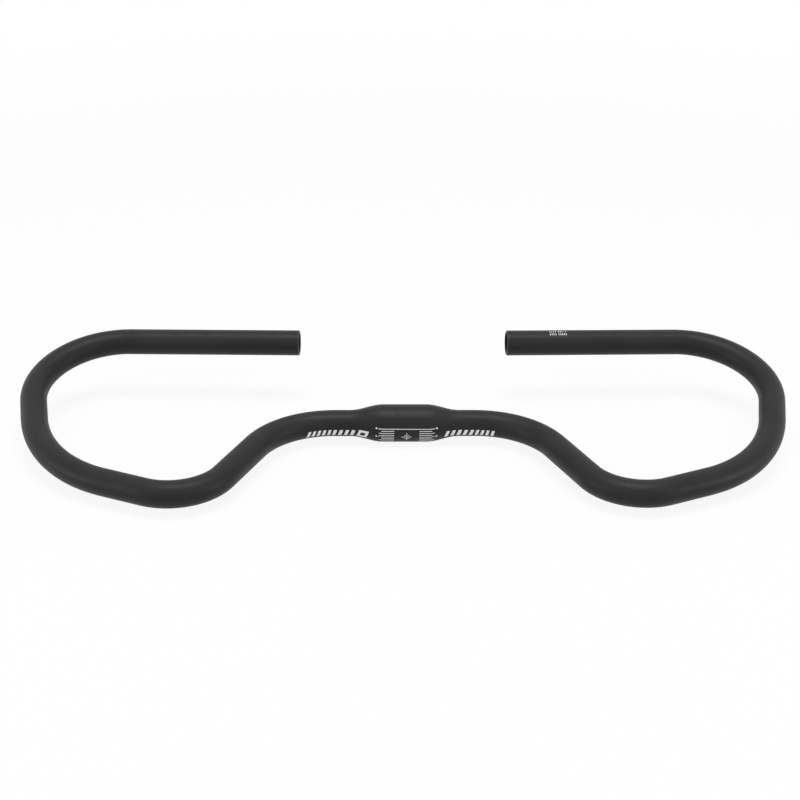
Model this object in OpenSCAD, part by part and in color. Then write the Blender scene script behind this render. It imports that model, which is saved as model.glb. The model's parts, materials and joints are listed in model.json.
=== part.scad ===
// Butterfly handlebar: one aluminium tube with a bulged middle, bent into two open loops.
// Millimetres, +Z up. The origin is the middle of the stem's clamp, +X runs along the clamp,
// the front curves lie at -Y, and the grips and the gap between them lie at +Y.

/* [Tube] */
// Outside diameter of the tube, which grips and levers slide onto
tube_d = 22.2; // [20:0.1:24]
// Thickness of the tube's wall
wall = 2.2; // [1.2:0.1:3.2]
// What the bending draws in on the tube's radius
bend_draw = 0.05; // [0.02:0.01:0.1]

/* [Clamp] */
// Outside diameter under the stem's clamp
clamp_d = 31.8; // [25.4:0.1:35]
// Length of the middle at that full diameter
clamp_len = 36; // [24:1:60]
// Length of each taper from the clamp down to the tube
taper_len = 28; // [15:1:45]
// Straight tube between each taper and the first bend
middle_tail = 13; // [3:1:40]

/* [First bend, towards the front] */
// Angle of the first bend
middle_bend_angle = 66; // [50:1:80]
// Radius of the first bend, on the tube's centre line
middle_bend_r = 70; // [50:1:90]
// Straight tube from the first bend down to the front bend
sweep_run = 55; // [30:1:80]

/* [Front bend, outwards and back] */
// Angle of the front bend
front_bend_angle = 90; // [75:1:105]
// Radius of the front bend, on the tube's centre line
front_bend_r = 45; // [35:1:60]
// Straight tube from the front bend to the side bend
side_run = 37; // [10:1:60]

/* [Side bend, along the outer side] */
// Angle of the side bend
side_bend_angle = 55; // [40:1:70]
// Radius of the side bend, on the tube's centre line
side_bend_r = 120; // [80:1:160]
// How far the plane of the side bend leans upwards
side_rise_angle = 13; // [0:1:20]
// Straight tube from the side bend to the rear bend
shoulder_run = 24; // [5:1:50]

/* [Rear bend, inwards to the grips] */
// Angle of the rear bend
rear_bend_angle = 104; // [90:1:112]
// Radius of the rear bend, on the tube's centre line
rear_bend_r = 70; // [50:1:90]
// How far the plane of the rear bend leans back down
rear_dip_angle = 4; // [0:1:10]

/* [Grip ends] */
// Straight tube for the grip, up to its open end
grip_run = 150; // [110:1:200]
// Radius of the rounded outer edge at the open end
end_round = 1; // [0.4:0.1:1.2]
// Chamfer on the inner edge at the open end
end_chamfer = 0.4; // [0.2:0.1:0.6]

/* [Hidden] */
$fn = 96;
black = [0.06, 0.06, 0.065];
tube_r = tube_d / 2;
bore_r = tube_r - wall;
clamp_r = clamp_d / 2;
// From the middle of the clamp to the first bend
middle_half = clamp_len / 2 + taper_len + middle_tail;
// How far each bend laps into the straight tube before and after it
lap = 0.5;
// What the bore runs on past the open end
overrun = 2;
// Steps of the curve along one taper, and degrees of one step round an edge
taper_steps = 14;
edge_step = 15;

// The bends from the middle outwards. Each has the turn of its plane about the tube,
// its angle, its radius and the straight tube that follows it.
TURN = 0;
ANGLE = 1;
RADIUS = 2;
RUN = 3;
BENDS = [
    [180, middle_bend_angle, middle_bend_r, sweep_run],
    [180, front_bend_angle, front_bend_r, side_run],
    [side_rise_angle, side_bend_angle, side_bend_r, shoulder_run],
    [-rear_dip_angle, rear_bend_angle, rear_bend_r, grip_run],
];
last_bend = len(BENDS) - 1;

// What the bulge adds to the radius, at a place from 0 to 1 along the taper
function bulge(t) = (clamp_r - tube_r) * (1 + cos(180 * t)) / 2;

// Points of one taper, as radius and distance from the middle, where way is -1 or 1
function taper(r, way) = [
    for (i = [0:taper_steps])
        let (t = (way < 0 ? taper_steps - i : i) / taper_steps)
            [r + bulge(t), way * (clamp_len / 2 + taper_len * t)]
];

// A solid turned about the X axis from points of radius and distance
module turned(points) {
    rotate([0, 90, 0])
        rotate_extrude()
            polygon(points);
}

module straight(r, run) {
    rotate([0, 90, 0])
        cylinder(r = r, h = run);
}

// A bend that starts at the origin along +X and curves towards +Y
module bend(r, angle, bend_r) {
    lap_angle = lap / bend_r * 180 / PI;
    translate([0, bend_r, 0])
        rotate([0, 0, -90 - lap_angle])
            rotate_extrude(angle = angle + 2 * lap_angle)
                translate([bend_r, 0])
                    circle(r = r - bend_draw);
}

// Moves what follows a bend to the bend's far end
module past_bend(angle, bend_r) {
    translate([0, bend_r, 0])
        rotate([0, 0, angle])
            translate([0, -bend_r, 0])
                children();
}

// The straight middle with its bulge, where r is the radius of the plain tube
module middle(r) {
    turned(concat(
        [[0, -middle_half], [r, -middle_half]],
        taper(r, -1),
        taper(r, 1),
        [[r, middle_half], [0, middle_half]]
    ));
}

// One side of the bar beyond the middle, bend after bend. The child ends it.
module side(r, i = 0) {
    row = BENDS[i];
    rotate([row[TURN], 0, 0]) {
        bend(r, row[ANGLE], row[RADIUS]);
        past_bend(row[ANGLE], row[RADIUS]) {
            if (i == last_bend)
                children();
            else {
                straight(r, row[RUN]);
                translate([row[RUN], 0, 0])
                    side(r, i + 1)
                        children();
            }
        }
    }
}

// The whole bar at one radius, alike on both sides. The child ends each side.
module bar(r) {
    middle(r);
    for (flip = [0, 1])
        mirror([flip, 0, 0])
            translate([middle_half, 0, 0])
                side(r)
                    children();
}

// The outside of the grip's tube, with its open end's edge rounded
module grip_tube() {
    turned(concat(
        [[0, 0], [tube_r, 0]],
        [for (a = [0:edge_step:90])
            [tube_r - end_round * (1 - cos(a)), grip_run - end_round * (1 - sin(a))]],
        [[0, grip_run]]
    ));
}

// The bore of the grip's tube, which runs out of the open end
module grip_bore() {
    turned([
        [0, 0],
        [bore_r, 0],
        [bore_r, grip_run - end_chamfer],
        [bore_r + end_chamfer + overrun, grip_run + overrun],
        [0, grip_run + overrun],
    ]);
}

module handlebar() {
    color(black)
        difference() {
            bar(tube_r)
                grip_tube();
            bar(bore_r)
                grip_bore();
        }
}

handlebar();
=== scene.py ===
"""Looks of a butterfly handlebar: one bent and bulged tube in matte black, and the marks printed on it.

The tube is one closed surface, made of rings that are carried along the bar's centre line: out over
the skin, round one open end, back through the bore and round the other end. The marks are thin
solids of ink, laid on the skin in two coordinates: the distance along the bar and the distance
round it. All lengths are metres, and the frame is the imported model's: the origin is the middle of
the clamp, +X runs along the clamp, the front curves lie at -Y and +Z is up.
"""

import json
import logging
import math
from dataclasses import dataclass, field
from enum import Enum
from typing import Any, Dict, List, Optional, Sequence, Tuple, Union

import bpy
import numpy as np
from mathutils import Matrix, Vector


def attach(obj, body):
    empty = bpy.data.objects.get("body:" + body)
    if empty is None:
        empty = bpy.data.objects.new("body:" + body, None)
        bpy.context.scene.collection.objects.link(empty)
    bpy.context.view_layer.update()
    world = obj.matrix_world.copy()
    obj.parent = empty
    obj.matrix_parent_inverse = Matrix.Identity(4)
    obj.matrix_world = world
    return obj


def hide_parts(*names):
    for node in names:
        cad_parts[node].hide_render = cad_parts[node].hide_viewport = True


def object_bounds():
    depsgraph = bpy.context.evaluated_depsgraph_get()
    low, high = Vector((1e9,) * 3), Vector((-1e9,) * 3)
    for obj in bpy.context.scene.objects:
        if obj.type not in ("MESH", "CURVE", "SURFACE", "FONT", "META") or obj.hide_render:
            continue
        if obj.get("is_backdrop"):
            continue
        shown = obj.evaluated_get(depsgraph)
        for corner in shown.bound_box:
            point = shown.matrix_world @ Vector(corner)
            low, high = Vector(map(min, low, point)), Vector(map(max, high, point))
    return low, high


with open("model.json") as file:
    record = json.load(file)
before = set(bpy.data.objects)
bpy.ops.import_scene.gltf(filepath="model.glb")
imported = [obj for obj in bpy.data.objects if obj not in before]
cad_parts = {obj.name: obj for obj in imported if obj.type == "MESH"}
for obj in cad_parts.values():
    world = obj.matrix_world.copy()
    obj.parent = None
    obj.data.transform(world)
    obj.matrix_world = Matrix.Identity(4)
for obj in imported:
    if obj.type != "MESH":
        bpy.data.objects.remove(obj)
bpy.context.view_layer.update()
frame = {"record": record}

log = logging.getLogger("handlebar")

BODY = "root"
NODE = "handlebar"
SURFACE_MAP = "surface"
MM = 0.001
WHITE = (1.0, 1.0, 1.0, 1.0)
# Middle of the prints on the bulge and beside it, in degrees round the tube from the front upwards
PRINT_ANGLE = -20.6

Colour = Tuple[float, float, float]
Place = Tuple[float, float]
Point = Tuple[float, float, float]
Socket = bpy.types.NodeSocket


class Side(Enum):
    """The two halves of the bar, with the sign of their X."""

    LEFT = -1
    RIGHT = 1


def mount(name: str) -> Dict:
    """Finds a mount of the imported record.

    Args:
        name: the mount's name.

    Returns:
        The mount's row, with its place, axis and sizes.
    """
    return next(row for row in frame["record"]["mounts"] if row["name"] == name)


def new_piece(name: str, points: np.ndarray, faces: np.ndarray) -> bpy.types.Object:
    """Makes a mesh object whose place is in its mesh, and smooths it up to its sharp edges.

    Args:
        name: the piece's name.
        points: one row of x, y and z for each point.
        faces: one row of four point numbers for each face, counted so that it points outwards.

    Returns:
        The new object, linked to the scene.
    """
    sharp_from = math.radians(35.0)
    mesh = bpy.data.meshes.new(name)
    mesh.from_pydata(points.tolist(), [], faces.tolist())
    mesh.shade_smooth()
    mesh.set_sharp_from_angle(angle=sharp_from)
    piece = bpy.data.objects.new(name, mesh)
    bpy.context.scene.collection.objects.link(piece)
    return piece


def grid_faces(rows: int, columns: int, closed: Tuple[bool, bool]) -> np.ndarray:
    """Numbers the faces of a grid of points, row after row.

    Face (i, j) joins the points (i, j), (i + 1, j), (i + 1, j + 1) and (i, j + 1). In a closed
    direction the last row or column joins the first.

    Args:
        rows: how many rows of points there are.
        columns: how many points one row has.
        closed: whether the rows close, and whether the columns do.

    Returns:
        One row of four point numbers for each face.
    """
    i, j = np.meshgrid(
        np.arange(rows if closed[0] else rows - 1),
        np.arange(columns if closed[1] else columns - 1),
        indexing="ij",
    )
    i, j = i.ravel(), j.ravel()
    i_next, j_next = (i + 1) % rows, (j + 1) % columns
    corners = (i * columns + j, i_next * columns + j, i_next * columns + j_next, i * columns + j_next)
    return np.stack(corners, axis=1)


def between(rows: np.ndarray, at: np.ndarray) -> np.ndarray:
    """Reads between rows of numbers: at 2.25, a quarter of the way from row 2 to row 3.

    Args:
        rows: the rows.
        at: where to read, counted in rows.

    Returns:
        One row for each place.
    """
    number = np.arange(len(rows))
    return np.stack([np.interp(at, number, column) for column in rows.T], axis=-1)


@dataclass(frozen=True)
class Bend:
    """One bend of the tube and the straight tube that follows it.

    Attributes:
        turn: what the bend's plane is turned about the tube before it, in degrees.
        angle: what the tube bends through, in degrees.
        radius: the bend's radius on the centre line.
        run: the length of the straight tube that follows.
    """

    turn: float
    angle: float
    radius: float
    run: float


@dataclass(frozen=True)
class Stretch:
    """A straight or evenly curved stretch of the centre line.

    Attributes:
        start: distance from the middle of the bar to where it starts.
        length: its length on the centre line.
        radius: radius of its curve, or 0 where it is straight.
        origin: the point where it starts.
        axes: columns that point ahead, towards the curve's centre and along the curve's axis.
        turned: all turns of the bend's plane so far, in radians.
    """

    start: float
    length: float
    radius: float
    origin: np.ndarray
    axes: np.ndarray
    turned: float

    @property
    def end(self) -> float:
        """The distance from the middle of the bar to where it ends."""
        return self.start + self.length


@dataclass
class CentreLine:
    """The line that the tube follows, from the middle of the clamp outwards and alike on both sides.

    Attributes:
        middle_half: straight length from the middle to the first bend.
        bends: the bends from the middle outwards.
        stretches: the line's stretches from the middle outwards, worked out from the above.
    """

    middle_half: float = 59 * MM
    bends: Tuple[Bend, ...] = (
        Bend(turn=180, angle=66, radius=70 * MM, run=55 * MM),
        Bend(turn=180, angle=90, radius=45 * MM, run=37 * MM),
        Bend(turn=13, angle=55, radius=120 * MM, run=24 * MM),
        Bend(turn=-4, angle=104, radius=70 * MM, run=150 * MM),
    )
    stretches: List[Stretch] = field(init=False)

    def __post_init__(self) -> None:
        """Walks the bends once, so that any place on the line can be worked out."""
        self.stretches = [Stretch(0.0, self.middle_half, 0.0, np.zeros(3), np.eye(3), 0.0)]
        for bend in self.bends:
            last = self.stretches[-1]
            turned = last.turned + math.radians(bend.turn)
            axes = last.axes @ self._about_tube(math.radians(bend.turn))
            arc = Stretch(
                last.end,
                bend.radius * math.radians(bend.angle),
                bend.radius,
                last.origin + last.axes[:, 0] * last.length,
                axes,
                turned,
            )
            place, ahead, inward = self._along(arc, np.array([arc.length]))
            run_axes = np.stack([ahead[0], inward[0], axes[:, 2]], axis=1)
            run = Stretch(arc.end, bend.run, 0.0, place[0], run_axes, turned)
            self.stretches += [arc, run]

    @property
    def half(self) -> float:
        """The length of the line from the middle to one open end."""
        return self.stretches[-1].end

    @staticmethod
    def _about_tube(angle: float) -> np.ndarray:
        """Gives the matrix of a turn about the tube's own direction, in radians."""
        c, s = math.cos(angle), math.sin(angle)
        return np.array([[1.0, 0.0, 0.0], [0.0, c, -s], [0.0, s, c]])

    @staticmethod
    def _along(stretch: Stretch, t: np.ndarray) -> Tuple[np.ndarray, np.ndarray, np.ndarray]:
        """Works out places along one stretch.

        On a curve of radius R, the place after the angle a = t / R is the start, plus R sin a
        ahead, plus R (1 - cos a) towards the curve's centre. Both directions turn by a.

        Args:
            stretch: the stretch.
            t: distances from its start.

        Returns:
            The points, the directions ahead and the directions towards the curve's centre.
        """
        ahead, inward = stretch.axes[:, 0], stretch.axes[:, 1]
        if not stretch.radius:
            shape = (len(t), 3)
            points = stretch.origin + t[:, None] * ahead
            return points, np.broadcast_to(ahead, shape), np.broadcast_to(inward, shape)
        c, s = np.cos(t / stretch.radius)[:, None], np.sin(t / stretch.radius)[:, None]
        points = stretch.origin + stretch.radius * (s * ahead + (1 - c) * inward)
        return points, c * ahead + s * inward, c * inward - s * ahead

    def at(self, along: np.ndarray) -> Tuple[np.ndarray, np.ndarray, np.ndarray]:
        """Works out places on the line, and what is front and up there.

        Front and up start as -Y and +Z in the middle of the bar, and are carried along without
        any twist: the turns of the bends' planes are taken back out of them. The left half is
        the mirror of the right half.

        Args:
            along: distances from the middle of the bar, below 0 on the left.

        Returns:
            The points, the front directions and the up directions, each with the last axis 3.
        """
        flat = np.abs(along).ravel()
        points, front, up = (np.empty((len(flat), 3)) for _ in range(3))
        starts = np.array([stretch.start for stretch in self.stretches])
        which = np.searchsorted(starts, flat, side="right") - 1
        for number, stretch in enumerate(self.stretches):
            here = which == number
            points[here], _, inward = self._along(stretch, flat[here] - stretch.start)
            c, s = math.cos(stretch.turned), math.sin(stretch.turned)
            axis = stretch.axes[:, 2]
            front[here] = s * axis - c * inward
            up[here] = s * inward + c * axis
        mirror = np.where(along.ravel() < 0, -1.0, 1.0)
        for vectors in (points, front, up):
            vectors[:, 0] *= mirror
        shape = (*along.shape, 3)
        return points.reshape(shape), front.reshape(shape), up.reshape(shape)


@dataclass
class Skin:
    """The outside of the tube, as a surface over the distance along it and the angle round it.

    Attributes:
        line: the tube's centre line.
        tube_r: radius of the plain tube, from the grips' mount.
        clamp_r: radius of the bulge under the stem's clamp, from its mount.
        clamp_len: length of the bulge at its full radius, from its mount.
        taper_len: length of each taper from the bulge down to the tube.
        bend_draw: what the bending draws in on the radius.
        bend_ease: length over which a bend draws in.
    """

    line: CentreLine
    tube_r: float = mount("right_grip")["dims"]["r_mm"] * MM
    clamp_r: float = mount("stem_clamp")["dims"]["r_mm"] * MM
    clamp_len: float = mount("stem_clamp")["dims"]["length_mm"] * MM
    taper_len: float = 28 * MM
    bend_draw: float = 0.05 * MM
    bend_ease: float = 4 * MM

    def radius(self, along: np.ndarray) -> np.ndarray:
        """Works out the tube's outer radius.

        The bulge is full up to half the clamp's length, and then falls as half a cosine wave
        over the taper. Each bend takes bend_draw off, eased in from both its ends.

        Args:
            along: distances from the middle of the bar.

        Returns:
            The radius at each of them.
        """
        far = np.abs(along)
        t = np.clip((far - self.clamp_len / 2) / self.taper_len, 0, 1)
        radius = self.tube_r + (self.clamp_r - self.tube_r) * (1 + np.cos(np.pi * t)) / 2
        for stretch in self.line.stretches:
            if stretch.radius:
                inside = np.minimum(far - stretch.start, stretch.end - far)
                radius = radius - self.bend_draw * np.clip(inside / self.bend_ease, 0, 1)
        return radius

    def wrap(self, along: np.ndarray, angle: np.ndarray, radius: np.ndarray) -> np.ndarray:
        """Carries circles along the centre line.

        Each point is the place on the line, plus the radius times (front cos a + up sin a).

        Args:
            along: distances from the middle of the bar.
            angle: angles round the tube, from the front upwards, in radians.
            radius: distances from the centre line.

        Returns:
            The points, with the last axis 3.
        """
        along, angle, radius = np.broadcast_arrays(along, angle, radius)
        points, front, up = self.line.at(along)
        c, s = np.cos(angle)[..., None], np.sin(angle)[..., None]
        return points + radius[..., None] * (c * front + s * up)


class Nodes:
    """A node tree that is filled from empty, node by node."""

    def __init__(self, owner: Union[bpy.types.Material, bpy.types.World]) -> None:
        """Takes the tree of a new material or world, and empties it.

        Args:
            owner: the material or the world.
        """
        owner.use_nodes = True
        self.owner = owner
        self.tree = owner.node_tree
        self.tree.nodes.clear()

    def add(self, kind: str, inputs: Dict[Union[str, int], Any], **settings: Any) -> bpy.types.Node:
        """Adds a node.

        Args:
            kind: the node's type, less the ShaderNode that it starts with.
            inputs: for each input, by name or number, a value to set or a socket to link.
            settings: the node's own settings.

        Returns:
            The node.
        """
        node = self.tree.nodes.new("ShaderNode" + kind)
        for name, value in settings.items():
            setattr(node, name, value)
        for name, value in inputs.items():
            if isinstance(value, Socket):
                self.tree.links.new(value, node.inputs[name])
            else:
                node.inputs[name].default_value = value
        return node

    def object_coordinates(self) -> Socket:
        """Gives the socket of the piece's own coordinates, in metres."""
        return self.add("TexCoord", {}).outputs["Object"]

    def noise(self, where: Socket, size: float, detail: float = 2.0) -> Socket:
        """Adds a noise pattern from 0 to 1, whose blotches have a size in the coordinates' unit."""
        return self.add("TexNoise", {"Vector": where, "Scale": 1 / size, "Detail": detail}).outputs["Fac"]

    def spread(self, pattern: Socket, low: float, high: float) -> Socket:
        """Maps the middle range of a noise pattern to a range of values.

        Args:
            pattern: the pattern.
            low: the value that its low end becomes.
            high: the value that its high end becomes.

        Returns:
            The mapped socket.
        """
        noise_low, noise_high = 0.3, 0.7
        ends = {"From Min": noise_low, "From Max": noise_high, "To Min": low, "To Max": high}
        return self.add("MapRange", {"Value": pattern, **ends}).outputs["Result"]

    def blend(self, pattern: Socket, low: Colour, high: Colour) -> Socket:
        """Blends two colours by the middle range of a noise pattern.

        Args:
            pattern: the pattern.
            low: the colour at its low end.
            high: the colour at its high end.

        Returns:
            The colour's socket.
        """
        # The node's colour sockets share their names with other sockets, so they go by number.
        first, second, mixed = 6, 7, 2
        inputs = {"Factor": self.spread(pattern, 0.0, 1.0), first: (*low, 1.0), second: (*high, 1.0)}
        return self.add("Mix", inputs, data_type="RGBA").outputs[mixed]

    def bump(self, height: Socket, depth: float, below: Optional[Socket] = None) -> Socket:
        """Adds a bump of a depth in metres, over the normal of another bump if one is given."""
        under = {} if below is None else {"Normal": below}
        return self.add("Bump", {"Height": height, "Distance": depth, **under}).outputs["Normal"]

    def mix(self, share: Socket, first: bpy.types.Node, second: bpy.types.Node) -> Socket:
        """Mixes two shaders: the first where the share is 0, and the second where it is 1."""
        inputs = {"Fac": share, 1: first.outputs[0], 2: second.outputs[0]}
        return self.add("MixShader", inputs).outputs["Shader"]

    def principled(self, inputs: Dict[str, Any]) -> bpy.types.Material:
        """Adds a Principled shader as the material's surface.

        Args:
            inputs: for each input, a value to set or a socket to link.

        Returns:
            The material.
        """
        shader = self.add("BsdfPrincipled", inputs)
        self.add("OutputMaterial", {"Surface": shader.outputs["BSDF"]})
        return self.owner


@dataclass(frozen=True)
class BlastedBlack:
    """Black anodising on bead-blasted aluminium: matte, with fine grain and faint blotches.

    Attributes:
        dark: colour where the dye took fully.
        pale: colour where it took a little less.
        blotch: size of the faint blotches.
        smooth: roughness at its lowest.
        rough: roughness at its highest.
        patch: size of the smoother and rougher patches.
        shine: specular level, low because the blasted skin scatters most light.
        grain: size of the blasting's dimples.
        grain_depth: depth of those dimples.
        draw_marks: length and width of the faint marks that drawing left along the tube.
        draw_depth: depth of those marks.
    """

    dark: Colour = (0.015, 0.015, 0.016)
    pale: Colour = (0.020, 0.020, 0.021)
    blotch: float = 30 * MM
    smooth: float = 0.41
    rough: float = 0.49
    patch: float = 5 * MM
    shine: float = 0.17
    grain: float = 0.4 * MM
    grain_depth: float = 0.05 * MM
    draw_marks: Tuple[float, float] = (45 * MM, 1.8 * MM)
    draw_depth: float = 0.06 * MM

    def material(self) -> bpy.types.Material:
        """Makes the material, whose patterns read the piece's own coordinates and surface map.

        Returns:
            The material.
        """
        nodes = Nodes(bpy.data.materials.new("blasted_black"))
        where = nodes.object_coordinates()
        blotches = nodes.noise(where, self.blotch, detail=3.0)
        patches = nodes.noise(where, self.patch)
        dimples = nodes.noise(where, self.grain, detail=1.0)
        surface = nodes.add("UVMap", {}, uv_map=SURFACE_MAP).outputs["UV"]
        length, width = self.draw_marks
        stretched = nodes.add("Mapping", {"Vector": surface, "Scale": (1 / length, 1 / width, 1.0)})
        drawn = nodes.bump(nodes.noise(stretched.outputs["Vector"], size=1.0), self.draw_depth)
        return nodes.principled(
            {
                "Base Color": nodes.blend(blotches, self.dark, self.pale),
                "Roughness": nodes.spread(patches, self.smooth, self.rough),
                "Normal": nodes.bump(dimples, self.grain_depth, drawn),
                "Specular IOR Level": self.shine,
            }
        )


@dataclass(frozen=True)
class CutEdgeWearAndHighlight:
    """The turned edge of an open end, where the black is a little thinner and smoother; its paler colour is
    partly wear and partly a painted highlight of the rim.

    Attributes:
        dark: colour in the middle of the wall, a little paler than the skin's, partly as painted highlight.
        pale: colour of the paler patches, partly wear and partly painted highlight.
        patch: size of the paler patches.
        roughness: the edge's roughness.
        shine: specular level.
    """

    dark: Colour = (0.019, 0.019, 0.020)
    pale: Colour = (0.040, 0.040, 0.042)
    patch: float = 4 * MM
    roughness: float = 0.40
    shine: float = 0.22

    def material(self) -> bpy.types.Material:
        """Makes the material, whose patches read the piece's own coordinates.

        Returns:
            The material.
        """
        nodes = Nodes(bpy.data.materials.new("cut_edge_wear_and_highlight"))
        patches = nodes.noise(nodes.object_coordinates(), self.patch)
        return nodes.principled(
            {
                # The base colour is paler than the skin's: partly wear on the edge, partly a painted
                # highlight of the rim.
                "Base Color": nodes.blend(patches, self.dark, self.pale),
                "Roughness": self.roughness,
                "Specular IOR Level": self.shine,
            }
        )


@dataclass(frozen=True)
class WhiteInk:
    """Pad-printed white ink: slightly uneven, thin enough to grey a little in spots.

    Attributes:
        thin: colour where the ink is thin.
        full: colour where it covers fully.
        spot: size of the thin spots.
        roughness: the ink's roughness.
        grain_depth: depth of the ink's own texture.
    """

    thin: Colour = (0.78, 0.78, 0.79)
    full: Colour = (0.90, 0.90, 0.90)
    spot: float = 1.2 * MM
    roughness: float = 0.55
    grain_depth: float = 0.004 * MM

    def material(self) -> bpy.types.Material:
        """Makes the material, whose spots read the piece's own coordinates.

        Returns:
            The material.
        """
        nodes = Nodes(bpy.data.materials.new("white_ink"))
        spots = nodes.noise(nodes.object_coordinates(), self.spot)
        return nodes.principled(
            {
                "Base Color": nodes.blend(spots, self.thin, self.full),
                "Roughness": self.roughness,
                "Normal": nodes.bump(spots, self.grain_depth),
            }
        )


@dataclass
class BentTube:
    """The bar itself: one tube of even wall, open at both ends.

    Attributes:
        skin: the tube's outside.
        bore_r: radius of the bore at the open ends, from the plug's mount.
        end_round: radius of the rounded outer edge at an open end.
        end_chamfer: chamfer on the inner edge at an open end.
        ring_sides: points round each ring.
        curve_step: distance between rings on a bend.
        bulge_step: distance between rings on the bulge and its tapers.
        straight_step: distance between rings on straight tube.
        round_steps: steps round the outer edge of an open end.
    """

    skin: Skin
    bore_r: float = mount("right_plug_bore")["dims"]["r_mm"] * MM
    end_round: float = 1.0 * MM
    end_chamfer: float = 0.4 * MM
    ring_sides: int = 72
    curve_step: float = 2.0 * MM
    bulge_step: float = 1.4 * MM
    straight_step: float = 6.0 * MM
    round_steps: int = 8

    @staticmethod
    def _spaced(start: float, end: float, step: float) -> np.ndarray:
        """Gives evenly spaced distances from start to just before end, about step apart."""
        count = max(1, math.ceil((end - start) / step))
        return np.linspace(start, end, count, endpoint=False)

    def _half_stations(self, end: float) -> np.ndarray:
        """Chooses where the rings of one half stand, closer together where the tube curves.

        Args:
            end: the distance of the last ring.

        Returns:
            Distances from the middle of the bar, rising from 0 to end.
        """
        skin = self.skin
        crest, foot = skin.clamp_len / 2, skin.clamp_len / 2 + skin.taper_len
        spans = [
            self._spaced(0.0, crest, self.straight_step),
            self._spaced(crest, foot, self.bulge_step),
            self._spaced(foot, skin.line.middle_half, self.straight_step),
        ]
        for stretch in skin.line.stretches[1:]:
            step = self.curve_step if stretch.radius else self.straight_step
            spans.append(self._spaced(stretch.start, min(stretch.end, end), step))
        return np.concatenate([*spans, [end]])

    def _both_ways(self, end: float) -> np.ndarray:
        """Gives the rings' distances over the whole bar, from -end to end."""
        half = self._half_stations(end)
        return np.concatenate([-half[:0:-1], half])

    def _profile(self) -> Tuple[np.ndarray, np.ndarray, np.ndarray]:
        """Works out the closed chain of rings, as distance along the bar and radius.

        The chain runs over the skin to the right, round the right end, back through the bore,
        and round the left end. An end is a quarter circle, a flat face and a chamfer.

        Returns:
            The rings' distances, their radii, and whether each starts a face of a cut end.
        """
        half = self.skin.line.half
        outer = self._both_ways(half - self.end_round)
        inner = self._both_ways(half - self.end_chamfer)[::-1]
        wall = self.skin.tube_r - self.bore_r
        arc = np.linspace(0, np.pi / 2, self.round_steps + 1)[1:]
        end_along = half - self.end_round * (1 - np.sin(arc))
        end_radius = self.skin.tube_r - self.end_round * (1 - np.cos(arc))
        end_along = np.append(end_along, half)
        end_radius = np.append(end_radius, self.bore_r + self.end_chamfer)
        along = np.concatenate([outer, end_along, inner, -end_along[::-1]])
        radius = np.concatenate(
            [self.skin.radius(outer), end_radius, self.skin.radius(inner) - wall, end_radius[::-1]]
        )
        faces = len(end_along) + 1
        cut = np.zeros(len(along), bool)
        cut[len(outer) - 1 : len(outer) - 1 + faces] = True
        cut[len(along) - faces :] = True
        return along, radius, cut

    def build(self) -> bpy.types.Object:
        """Builds the tube.

        Returns:
            The piece, with its surface map.
        """
        along, radius, cut = self._profile()
        rings, sides = len(along), self.ring_sides
        angle = np.arange(sides) * (2 * np.pi / sides)
        points = self.skin.wrap(along[:, None], angle[None, :], radius[:, None])
        faces = grid_faces(rings, sides, closed=(True, True))
        piece = new_piece("handlebar_tube", points.reshape(-1, 3), faces)
        self._map_surface(piece.data, along, radius)
        piece.data.polygons.foreach_set("material_index", np.repeat(cut, sides).astype(np.int32))
        return piece

    def _map_surface(self, mesh: bpy.types.Mesh, along: np.ndarray, radius: np.ndarray) -> None:
        """Lays the surface map: its first axis runs along the tube, its second round it, in metres.

        The first axis adds up the distances between rings, over the skin and on through the
        bore, so the map doesn't stretch at the ends. The second is the angle times the radius
        of the plain tube.

        Args:
            mesh: the tube's mesh.
            along: the rings' distances along the bar.
            radius: the rings' radii.
        """
        rings, sides = len(along), self.ring_sides
        steps = np.hypot(np.diff(along, append=along[0]), np.diff(radius, append=radius[0]))
        travel = np.concatenate([[0.0], np.cumsum(steps)])
        i, j = np.meshgrid(np.arange(rings), np.arange(sides), indexing="ij")
        ring = np.stack([i, i + 1, i + 1, i], axis=-1).reshape(-1)
        side = np.stack([j, j, j + 1, j + 1], axis=-1).reshape(-1)
        around = side * (2 * np.pi / sides) * self.skin.tube_r
        layer = mesh.uv_layers.new(name=SURFACE_MAP)
        layer.data.foreach_set("uv", np.stack([travel[ring], around], axis=1).ravel())

    def dress(self, piece: bpy.types.Object) -> None:
        """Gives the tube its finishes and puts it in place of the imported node.

        Args:
            piece: the tube.
        """
        # The second finish is the cut edge, whose paler colour is partly a painted highlight of the rim.
        for finish in (BlastedBlack(), CutEdgeWearAndHighlight()):
            piece.data.materials.append(finish.material())
        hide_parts(NODE)
        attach(piece, BODY)


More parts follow.
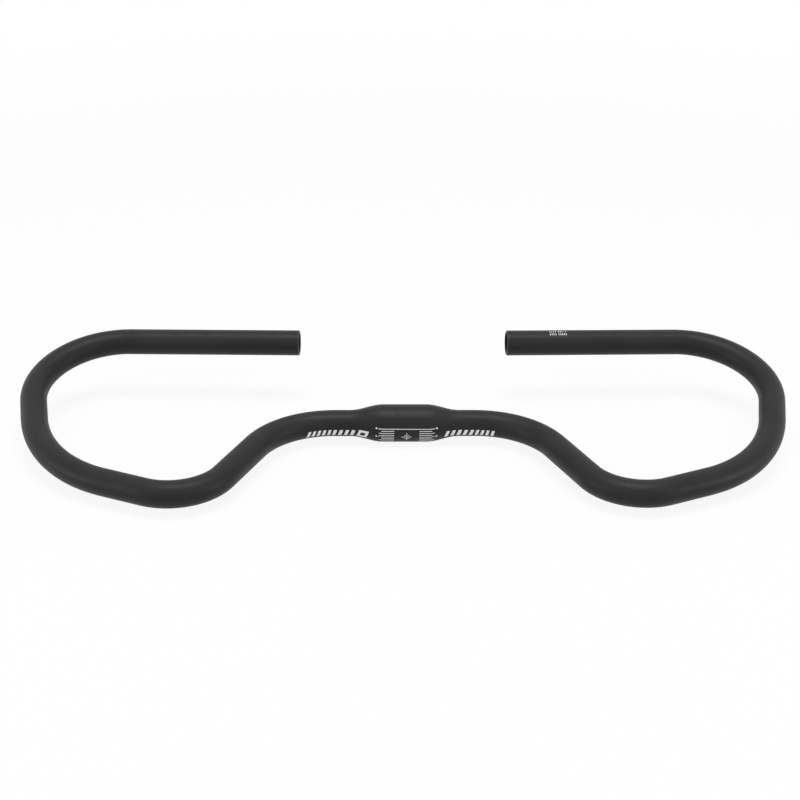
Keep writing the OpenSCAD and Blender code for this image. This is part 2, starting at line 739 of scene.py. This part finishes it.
@dataclass
class Print:
    """Shapes of ink on the skin, gathered and then made into one piece of thin closed solids.

    A shape's first coordinate is the distance along the bar and its second the distance round
    it, upwards from the line at base_angle.

    Attributes:
        name: the piece's name.
        skin: the skin that it is printed on.
        base_angle: where the second coordinate is 0, in degrees round the tube from the front.
        shift: where the first coordinate is 0, from the middle of the bar.
        turn: what all shapes are turned by, anticlockwise and in degrees.
        proud: how far the ink stands out of the skin.
        sunk: how far it reaches into it.
        step: distance between the points of a shape.
        solids: the points and the faces of each solid so far.
    """

    name: str
    skin: Skin
    base_angle: float
    shift: float = 0.0
    turn: float = 0.0
    proud: float = 0.04 * MM
    sunk: float = 0.04 * MM
    step: float = 0.6 * MM
    solids: List[Tuple[np.ndarray, np.ndarray]] = field(default_factory=list)

    def _lay(self, grid: np.ndarray, ring: bool) -> None:
        """Makes a thin solid over a grid of places.

        The grid is turned and shifted along the bar. The angle round the tube is the distance
        round it over the skin's radius there. One sheet is lifted off the skin, another is sunk
        under it, and walls join their rims.

        Args:
            grid: rows of places, with both coordinates on the last axis.
            ring: whether the grid's rows close into a ring.
        """
        rows, columns = grid.shape[:2]
        u, v = grid[..., 0], grid[..., 1]
        c, s = math.cos(math.radians(self.turn)), math.sin(math.radians(self.turn))
        along, around = self.shift + c * u - s * v, s * u + c * v
        radius = self.skin.radius(along)
        angle = math.radians(self.base_angle) + around / radius
        sheets = [self.skin.wrap(along, angle, radius + lift) for lift in (self.proud, -self.sunk)]
        points = np.concatenate([sheet.reshape(-1, 3) for sheet in sheets])
        under = rows * columns
        top = grid_faces(rows, columns, closed=(ring, False))
        number = np.arange(under).reshape(rows, columns)
        rims = [number[:, 0][::-1], number[:, -1]]
        if ring:
            rims = [np.append(rim, rim[0]) for rim in rims]
        else:
            rims += [number[0], number[-1][::-1]]
        walls = [np.stack([rim[:-1], rim[1:], rim[1:] + under, rim[:-1] + under], axis=1) for rim in rims]
        self.solids.append((points, np.concatenate([top, top[:, ::-1] + under, *walls])))

    def quad(self, corners: Sequence[Place]) -> None:
        """Prints a four-cornered shape, whose grid blends its corners in both directions.

        Args:
            corners: its corners in turn, anticlockwise.
        """
        a, b, c, d = (np.array(corner) for corner in corners)
        columns = 1 + max(1, math.ceil(np.linalg.norm(d - a) / self.step))
        rows = 1 + max(1, math.ceil(np.linalg.norm(b - a) / self.step))
        s, t = np.linspace(0, 1, rows)[:, None, None], np.linspace(0, 1, columns)[None, :, None]
        self._lay((1 - s) * ((1 - t) * a + t * d) + s * ((1 - t) * b + t * c), ring=False)

    def strip(self, places: Sequence[Place], width: float) -> None:
        """Prints a line of even width through places.

        The line's sides lie half a width off it. At a bend between the side directions m and n
        the side point lies along (m + n) / (1 + m . n), which mitres the corner.

        Args:
            places: the places that it runs through.
            width: its width.
        """
        spine = np.array(places)
        ahead = np.diff(spine, axis=0)
        lengths = np.linalg.norm(ahead, axis=1)
        aside = np.stack([-ahead[:, 1], ahead[:, 0]], axis=1) / lengths[:, None]
        mitres = (aside[:-1] + aside[1:]) / (1 + np.sum(aside[:-1] * aside[1:], axis=1))[:, None]
        aside = np.concatenate([aside[:1], mitres, aside[-1:]])
        counts = np.ceil(lengths / self.step).astype(int)
        steps = [number + np.arange(count) / count for number, count in enumerate(counts)]
        at = np.append(np.concatenate(steps), len(lengths))
        off = np.array([-width / 2, width / 2])[:, None]
        self._lay(between(spine, at)[:, None] + off * between(aside, at)[:, None], ring=False)

    def slanted(self, centre: Place, size: Tuple[float, float], lean: float) -> None:
        """Prints a bar that leans.

        Its top is shifted by half its height times the tangent of the lean, and its foot by the
        same the other way.

        Args:
            centre: the bar's middle.
            size: its width along the bar and its height round it.
            lean: its lean to the right, in degrees.
        """
        (u, v), (width, height) = centre, size
        shift = math.tan(math.radians(lean)) * height / 2
        low, high = v - height / 2, v + height / 2
        left, right = u - width / 2, u + width / 2
        self.quad([(left - shift, low), (right - shift, low), (right + shift, high), (left + shift, high)])

    def slanted_frame(self, centre: Place, size: Tuple[float, float], lean: float, line: float) -> None:
        """Prints the outline of a bar that leans, as a closed band with mitred corners.

        The band's places go round from corner to corner, and inwards from the full half size to
        that less the line. Each place is then shifted by its height times the tangent of the lean.

        Args:
            centre: its middle.
            size: its width along the bar and its height round it.
            lean: its lean to the right, in degrees.
            line: the line's width.
        """
        corners = np.array([[-1, -1], [1, -1], [1, 1], [-1, 1], [-1, -1]])
        steps, columns = math.ceil(max(size) / self.step), 1 + math.ceil(line / self.step)
        at = np.arange((len(corners) - 1) * steps) / steps
        half_sizes = np.array(size) / 2 - np.linspace(0, line, columns)[:, None]
        band = between(corners, at)[:, None] * half_sizes
        band[..., 0] += band[..., 1] * math.tan(math.radians(lean))
        self._lay(band + centre, ring=True)

    def diamond(self, centre: Place, size: float) -> None:
        """Prints a square that stands on its corner, with size from corner to corner."""
        (u, v), half = centre, size / 2
        self.quad([(u - half, v), (u, v - half), (u + half, v), (u, v + half)])

    def ring(self, centre: Place, radius: float, width: float) -> None:
        """Prints a ring, as a band of circles about its centre.

        Args:
            centre: the ring's middle.
            radius: its radius, halfway through the line.
            width: the line's width.
        """
        sides, circles = 24, 3
        turn = np.linspace(0, 2 * np.pi, sides, endpoint=False)[:, None]
        out = np.linspace(radius + width / 2, radius - width / 2, circles)[:, None]
        self._lay(out * np.stack([np.cos(turn), np.sin(turn)], axis=-1) + centre, ring=True)

    def finish(self, ink: bpy.types.Material) -> bpy.types.Object:
        """Joins the solids into one piece, with its ink, riding on the bar.

        Args:
            ink: the ink's material.

        Returns:
            The piece.
        """
        counts = np.cumsum([0] + [len(points) for points, _ in self.solids])
        points = np.concatenate([points for points, _ in self.solids])
        faces = np.concatenate([faces + start for (_, faces), start in zip(self.solids, counts)])
        piece = new_piece(self.name, points, faces)
        piece.data.materials.append(ink)
        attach(piece, BODY)
        return piece


@dataclass(frozen=True)
class ScaleMark:
    """A small mark beside the lines of the centre scale.

    Attributes:
        side: the side of the scale that it stands on.
        place: how far out it stands, and at what height.
        row: the row of lines that leads to it, counted up from the middle.
        hollow: whether it is a ring instead of a filled square on its corner.
    """

    side: Side
    place: Place
    row: int
    hollow: bool = False


@dataclass
class CentreScale:
    """The scale on the bulge by which a stem is centred: lines, small marks and a ringed cross.

    Attributes:
        skin: the skin that it is printed on.
        base_angle: angle of its middle line round the tube, in degrees from the front.
        shift: how far its middle lies to the right of the clamp's middle.
        rows: number of lines above and below the middle one.
        pitch: distance between lines.
        line: width of a line.
        gap_half: half of the bare middle between the left and right lines.
        short_end: where the short lines end.
        long_end: where the long lines end.
        turn: what the whole scale is turned by on the bulge, in degrees.
        marks: the marks beside the lines.
        mark: size of a mark.
        leader_gap: bare gap between a mark's middle and the line that leads to it.
        cross: half the width and half the height of the cross.
        cross_line: width of the lines of the cross and of its ring.
        cross_ring: radius of the cross's ring.
        cross_dot: size of the dot in the cross's middle.
    """

    skin: Skin
    base_angle: float = PRINT_ANGLE
    shift: float = 1.6 * MM
    rows: int = 4
    pitch: float = 2.0 * MM
    line: float = 0.55 * MM
    gap_half: float = 10.6 * MM
    short_end: float = 21.4 * MM
    long_end: float = 23.4 * MM
    turn: float = -0.4
    marks: Tuple[ScaleMark, ...] = (
        ScaleMark(Side.LEFT, place=(25.5 * MM, 8.3 * MM), row=4),
        ScaleMark(Side.RIGHT, place=(25.2 * MM, 8.2 * MM), row=4),
        ScaleMark(Side.LEFT, place=(25.6 * MM, 0.7 * MM), row=1),
        ScaleMark(Side.RIGHT, place=(25.0 * MM, 0.5 * MM), row=0, hollow=True),
    )
    mark: float = 1.9 * MM
    leader_gap: float = 1.6 * MM
    cross: Tuple[float, float] = (4.4 * MM, 4.6 * MM)
    cross_line: float = 0.42 * MM
    cross_ring: float = 2.3 * MM
    cross_dot: float = 2.0 * MM

    def _end(self, row: int) -> float:
        """Gives where the lines of a row end: every second row away from the middle one is long."""
        return self.long_end if row and row % 2 == 0 else self.short_end

    def _half_line(self, side: Side, row: int, start: float) -> List[Place]:
        """Finds the places that a line runs through on one side, its leader to a mark included.

        Args:
            side: the side of the scale.
            row: the line's row.
            start: how far out the line starts on that side.

        Returns:
            The places from the middle outwards.
        """
        way, height = side.value, row * self.pitch
        places = [(way * start, height), (way * self._end(row), height)]
        for mark in self.marks:
            if mark.side is side and mark.row == row:
                out, mark_height = mark.place
                places.append((way * (out - self.leader_gap), mark_height))
        return places

    def _lines(self, page: Print) -> None:
        """Prints the lines: one right across at the top, and pairs below it in two lengths.

        Args:
            page: the print that they go on.
        """
        left, right = (self._half_line(side, self.rows, 0.0)[1:] for side in Side)
        page.strip([*left[::-1], *right], self.line)
        for row in range(-self.rows, self.rows):
            for side in Side:
                page.strip(self._half_line(side, row, self.gap_half), self.line)

    def _marks(self, page: Print) -> None:
        """Prints the marks, filled or hollow.

        Args:
            page: the print that they go on.
        """
        for mark in self.marks:
            out, height = mark.place
            centre = (mark.side.value * out, height)
            if mark.hollow:
                page.ring(centre, (self.mark - self.cross_line) / 2, self.cross_line)
            else:
                page.diamond(centre, self.mark)

    def _cross(self, page: Print) -> None:
        """Prints the cross in the bare middle: a dot, a ring about it and four arms outside the ring.

        Args:
            page: the print that it goes on.
        """
        page.diamond((0.0, 0.0), self.cross_dot)
        page.ring((0.0, 0.0), self.cross_ring, self.cross_line)
        start = self.cross_ring + self.cross_line
        wide, tall = self.cross
        for way in (-1, 1):
            page.strip([(way * start, 0.0), (way * wide, 0.0)], self.cross_line)
            page.strip([(0.0, way * start), (0.0, way * tall)], self.cross_line)

    def build(self, ink: bpy.types.Material) -> bpy.types.Object:
        """Builds the scale.

        Args:
            ink: the ink's material.

        Returns:
            The piece.
        """
        page = Print("centre_scale", self.skin, self.base_angle, self.shift, self.turn)
        self._lines(page)
        self._marks(page)
        self._cross(page)
        return page.finish(ink)


@dataclass
class SideStripes:
    """A row of slanted stripes on each side of the bulge, and a slanted box beside the left one.

    Attributes:
        skin: the skin that they are printed on.
        base_angle: angle of the row's middle round the tube, in degrees from the front.
        count: number of stripes in a row.
        height: height of a stripe.
        fill: share of the row that is ink.
        lean: lean of the stripes to the right, in degrees.
        ends: where each row starts and ends along the bar.
        box: where the box starts and ends.
        box_height: height of the box.
        box_line: width of the line that the box is drawn with.
    """

    skin: Skin
    base_angle: float = PRINT_ANGLE
    count: int = 9
    height: float = 6.2 * MM
    fill: float = 0.54
    lean: float = 18.0
    ends: Dict[Side, Place] = field(
        default_factory=lambda: {Side.LEFT: (-87.0 * MM, -41.5 * MM), Side.RIGHT: (33.2 * MM, 79.0 * MM)}
    )
    box: Place = (-39.6 * MM, -31.3 * MM)
    box_height: float = 8.0 * MM
    box_line: float = 2.2 * MM

    def _row(self, page: Print, ends: Place) -> None:
        """Prints one row of stripes.

        The pitch is the row's length, less what one stripe leans, over the number of pitches
        and the one stripe that follows the last of them.

        Args:
            page: the print that they go on.
            ends: where the row starts and ends along the bar.
        """
        start, end = ends
        shift = math.tan(math.radians(self.lean)) * self.height
        pitch = (end - start - shift) / (self.count - 1 + self.fill)
        width = pitch * self.fill
        for number in range(self.count):
            middle = start + (shift + width) / 2 + number * pitch
            page.slanted((middle, 0.0), (width, self.height), self.lean)

    def build(self, side: Side, ink: bpy.types.Material) -> bpy.types.Object:
        """Builds the stripes of one side.

        Args:
            side: the side of the bar.
            ink: the ink's material.

        Returns:
            The piece.
        """
        page = Print(f"{side.name.lower()}_stripes", self.skin, self.base_angle)
        self._row(page, self.ends[side])
        if side is Side.LEFT:
            start, end = self.box
            size = (end - start, self.box_height)
            page.slanted_frame(((start + end) / 2, 0.0), size, self.lean, self.box_line)
        return page.finish(ink)


@dataclass
class TrimTicks:
    """Two rows of short ticks near the right open end, by which the grip tube is cut to length.

    Attributes:
        skin: the skin that they are printed on.
        base_angle: angle of the lower row's middle round the tube, in degrees from the front.
        from_end: distance of the first ticks from the open end.
        rows: heights of the rows' middles.
        groups: how many ticks each group of a row has, for each row.
        height: height of a tick.
        width: width of a tick.
        pitch: distance between the ticks of a group.
        gap: what is added between groups.
    """

    skin: Skin
    base_angle: float = 75.0
    from_end: float = 38.2 * MM
    rows: Tuple[float, ...] = (0.0, 3.6 * MM)
    groups: Tuple[Tuple[int, ...], ...] = ((4, 3, 1), (4, 5))
    height: float = 2.0 * MM
    width: float = 0.65 * MM
    pitch: float = 1.65 * MM
    gap: float = 1.1 * MM

    def build(self, ink: bpy.types.Material) -> bpy.types.Object:
        """Builds the ticks.

        Args:
            ink: the ink's material.

        Returns:
            The piece.
        """
        page = Print("trim_ticks", self.skin, self.base_angle, self.skin.line.half - self.from_end)
        for height, groups in zip(self.rows, self.groups):
            gaps_before = np.repeat(np.arange(len(groups)), groups)
            for number, gaps in enumerate(gaps_before):
                place = -number * self.pitch - gaps * self.gap
                page.slanted((place, height), (self.width, self.height), lean=0)
        return page.finish(ink)


@dataclass(frozen=True)
class Softbox:
    """A soft rectangular lamp that is turned towards the middle of the bar.

    Attributes:
        name: the lamp's name.
        place: where its middle hangs.
        size: its width and its depth.
        power: its power, in watts.
    """

    name: str
    place: Point
    size: Tuple[float, float]
    power: float

    @classmethod
    def pair(cls, name: str, place: Point, width: float, power: float) -> List["Softbox"]:
        """Makes two square lamps that mirror each other.

        Args:
            name: what both names start with.
            place: where the middle of the right one hangs.
            width: the width of each lamp, and its depth.
            power: the power of each, in watts.

        Returns:
            The left lamp and the right one.
        """
        x, y, z = place
        return [
            cls(f"{name}_{side.name.lower()}", (side.value * x, y, z), (width, width), power)
            for side in Side
        ]

    def build(self) -> None:
        """Hangs the lamp."""
        data = bpy.data.lights.new(self.name, "AREA")
        data.shape = "RECTANGLE"
        data.size, data.size_y = self.size
        data.energy = self.power
        lamp = bpy.data.objects.new(self.name, data)
        place = Vector(self.place)
        lamp.matrix_world = Matrix.LocRotScale(place, (-place).to_track_quat("-Z", "Y"), None)
        lamp.visible_camera = False
        bpy.context.scene.collection.objects.link(lamp)


@dataclass
class Studio:
    """A white room: a pale floor, a white surround and softboxes.

    Attributes:
        floor_size: side of the floor.
        floor_colour: colour of the floor.
        floor_glow: share of plain white that the camera and reflections see on the floor.
        fade: distances from the bar's middle between which that share rises to 1.
        fill: strength of the surround's light on surfaces.
        lamps: the softboxes.
    """

    floor_size: float = 16.0
    floor_colour: Colour = (0.95, 0.95, 0.95)
    floor_glow: float = 0.9
    fade: Tuple[float, float] = (0.7, 1.6)
    fill: float = 0.35
    lamps: Tuple[Softbox, ...] = (
        Softbox("overhead", place=(0.0, 0.0, 2.6), size=(1.6, 0.8), power=38.5),
        *Softbox.pair("beside", place=(1.3, -0.47, 0.24), width=0.3, power=3.1),
        *Softbox.pair("front", place=(0.82, -0.69, 0.9), width=0.3, power=1.15),
    )

    @staticmethod
    def _seen(nodes: Nodes) -> Socket:
        """Adds nodes that tell the rays of the camera, of reflections and of transmission from others.

        Args:
            nodes: the tree.

        Returns:
            A socket that is 1 for those rays and 0 for the rest.
        """
        rays = nodes.add("LightPath", {}).outputs
        seen = rays["Is Camera Ray"]
        for kind in ("Is Glossy Ray", "Is Transmission Ray"):
            seen = nodes.add("Math", {0: seen, 1: rays[kind]}, operation="MAXIMUM").outputs["Value"]
        return seen

    def _surround(self) -> None:
        """Makes the world: white where it is seen, and at fill's strength where it lights."""
        world = bpy.data.worlds.new("surround")
        bpy.context.scene.world = world
        nodes = Nodes(world)
        lights = nodes.add("Background", {"Color": WHITE, "Strength": self.fill})
        white = nodes.add("Background", {"Color": WHITE})
        nodes.add("OutputWorld", {"Surface": nodes.mix(self._seen(nodes), lights, white)})

    def _far_glow(self, nodes: Nodes) -> Socket:
        """Adds nodes for the share of plain white on the floor, which rises with the distance.

        Args:
            nodes: the floor's tree.

        Returns:
            The share's socket.
        """
        where = nodes.object_coordinates()
        distance = nodes.add("VectorMath", {0: where}, operation="LENGTH").outputs["Value"]
        near, far = self.fade
        inputs = {"Value": distance, "From Min": near, "From Max": far, "To Min": self.floor_glow}
        return nodes.add("MapRange", inputs, interpolation_type="SMOOTHSTEP").outputs["Result"]

    def _floor_material(self) -> bpy.types.Material:
        """Makes the floor's material: pale and matte, and mostly plain white where it is seen.

        Returns:
            The material.
        """
        nodes = Nodes(bpy.data.materials.new("pale_floor"))
        matte = nodes.add("BsdfDiffuse", {"Color": (*self.floor_colour, 1.0)})
        glow = nodes.add("Emission", {"Color": WHITE})
        share = nodes.add("Math", {0: self._seen(nodes), 1: self._far_glow(nodes)}, operation="MULTIPLY")
        nodes.add("OutputMaterial", {"Surface": nodes.mix(share.outputs["Value"], matte, glow)})
        return nodes.owner

    def _floor(self, height: float) -> None:
        """Lays the floor, a square of one face.

        Args:
            height: the height that it lies at.
        """
        reach = self.floor_size / 2
        front = np.array([[-reach, -reach, height], [reach, -reach, height]])
        points = np.concatenate([front, front[::-1] * [1, -1, 1]])
        floor = new_piece("floor", points, np.array([[0, 1, 2, 3]]))
        floor.data.materials.append(self._floor_material())
        floor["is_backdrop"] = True

    def build(self, floor_height: float) -> None:
        """Builds the room.

        Args:
            floor_height: the height that the bar stands on.
        """
        self._surround()
        self._floor(floor_height)
        for lamp in self.lamps:
            lamp.build()
        bpy.context.scene.view_settings.view_transform = "Standard"


@dataclass
class Viewpoint:
    """The camera, at the angle from which the bar was photographed.

    Attributes:
        picture: side of the square picture, in pixels.
        focal: focal length, in those pixels.
        distance: depth of the clamp's middle in front of the camera.
        elevation: how steeply the camera looks down, in degrees.
        yaw: turn of the bar about the upright axis, in degrees.
        roll: turn of the picture, in degrees.
        clamp_pixel: where the clamp's middle lies in the picture.
        sensor: width of the camera's sensor, in millimetres.
    """

    picture: float = 800.0
    focal: float = 1500.0
    distance: float = 1270.0 * MM
    elevation: float = 26.868
    yaw: float = 1.196
    roll: float = 0.529
    clamp_pixel: Place = (404.53, 422.96)
    sensor: float = 36.0

    def build(self) -> None:
        """Builds the camera.

        Its rows of directions are worked out for a bar seen from the front, then turned by the
        roll and by the bar's yaw. The camera stands where the clamp's middle lands on its pixel.
        """
        down, turn, tilt = (math.radians(x) for x in (self.elevation, self.yaw, self.roll))
        level = Matrix(
            (
                (1.0, 0.0, 0.0),
                (0.0, -math.sin(down), -math.cos(down)),
                (0.0, math.cos(down), -math.sin(down)),
            )
        )
        to_view = Matrix.Rotation(tilt, 3, "Z") @ level @ Matrix.Rotation(turn, 3, "Z")
        across, below = (pixel - self.picture / 2 for pixel in self.clamp_pixel)
        clamp = Vector((across / self.focal, below / self.focal, 1.0)) * self.distance
        right, under, ahead = to_view
        axes = Matrix((right, -under, -ahead)).transposed()
        data = bpy.data.cameras.new("viewpoint")
        data.sensor_width = self.sensor
        data.lens = self.focal / self.picture * self.sensor
        camera = bpy.data.objects.new("viewpoint", data)
        camera.matrix_world = Matrix.LocRotScale(-(to_view.transposed() @ clamp), axes.to_quaternion(), None)
        bpy.context.scene.collection.objects.link(camera)
        bpy.context.scene.camera = camera


def report(piece: bpy.types.Object) -> None:
    """Logs a piece's name and how many triangles it has."""
    piece.data.calc_loop_triangles()
    log.info("%s: %d triangles", piece.name, len(piece.data.loop_triangles))


def check_seat(line: CentreLine) -> None:
    """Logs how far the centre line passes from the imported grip's mount.

    Args:
        line: the centre line.
    """
    grip = mount("right_grip")
    to_end = grip["dims"]["length_mm"] * MM / 2 + BentTube.end_round
    place, _, _ = line.at(np.array([line.half - to_end]))
    log.info("the grip's mount lies %.4f mm off", np.linalg.norm(place[0] - grip["pos_m"]) / MM)


def main() -> None:
    """Builds the tube, its printed marks, the room and the camera, in that order."""
    logging.basicConfig(level=logging.INFO, format="%(name)s: %(message)s")
    line = CentreLine()
    skin = Skin(line)
    tube = BentTube(skin)
    bar = tube.build()
    tube.dress(bar)
    ink = WhiteInk().material()
    stripes = SideStripes(skin)
    pieces = [bar, CentreScale(skin).build(ink)]
    pieces += [stripes.build(side, ink) for side in Side]
    pieces.append(TrimTicks(skin).build(ink))
    for piece in pieces:
        report(piece)
    check_seat(line)
    low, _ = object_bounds()
    Studio().build(low.z)
    Viewpoint().build()


if __name__ == "__main__":
    main()
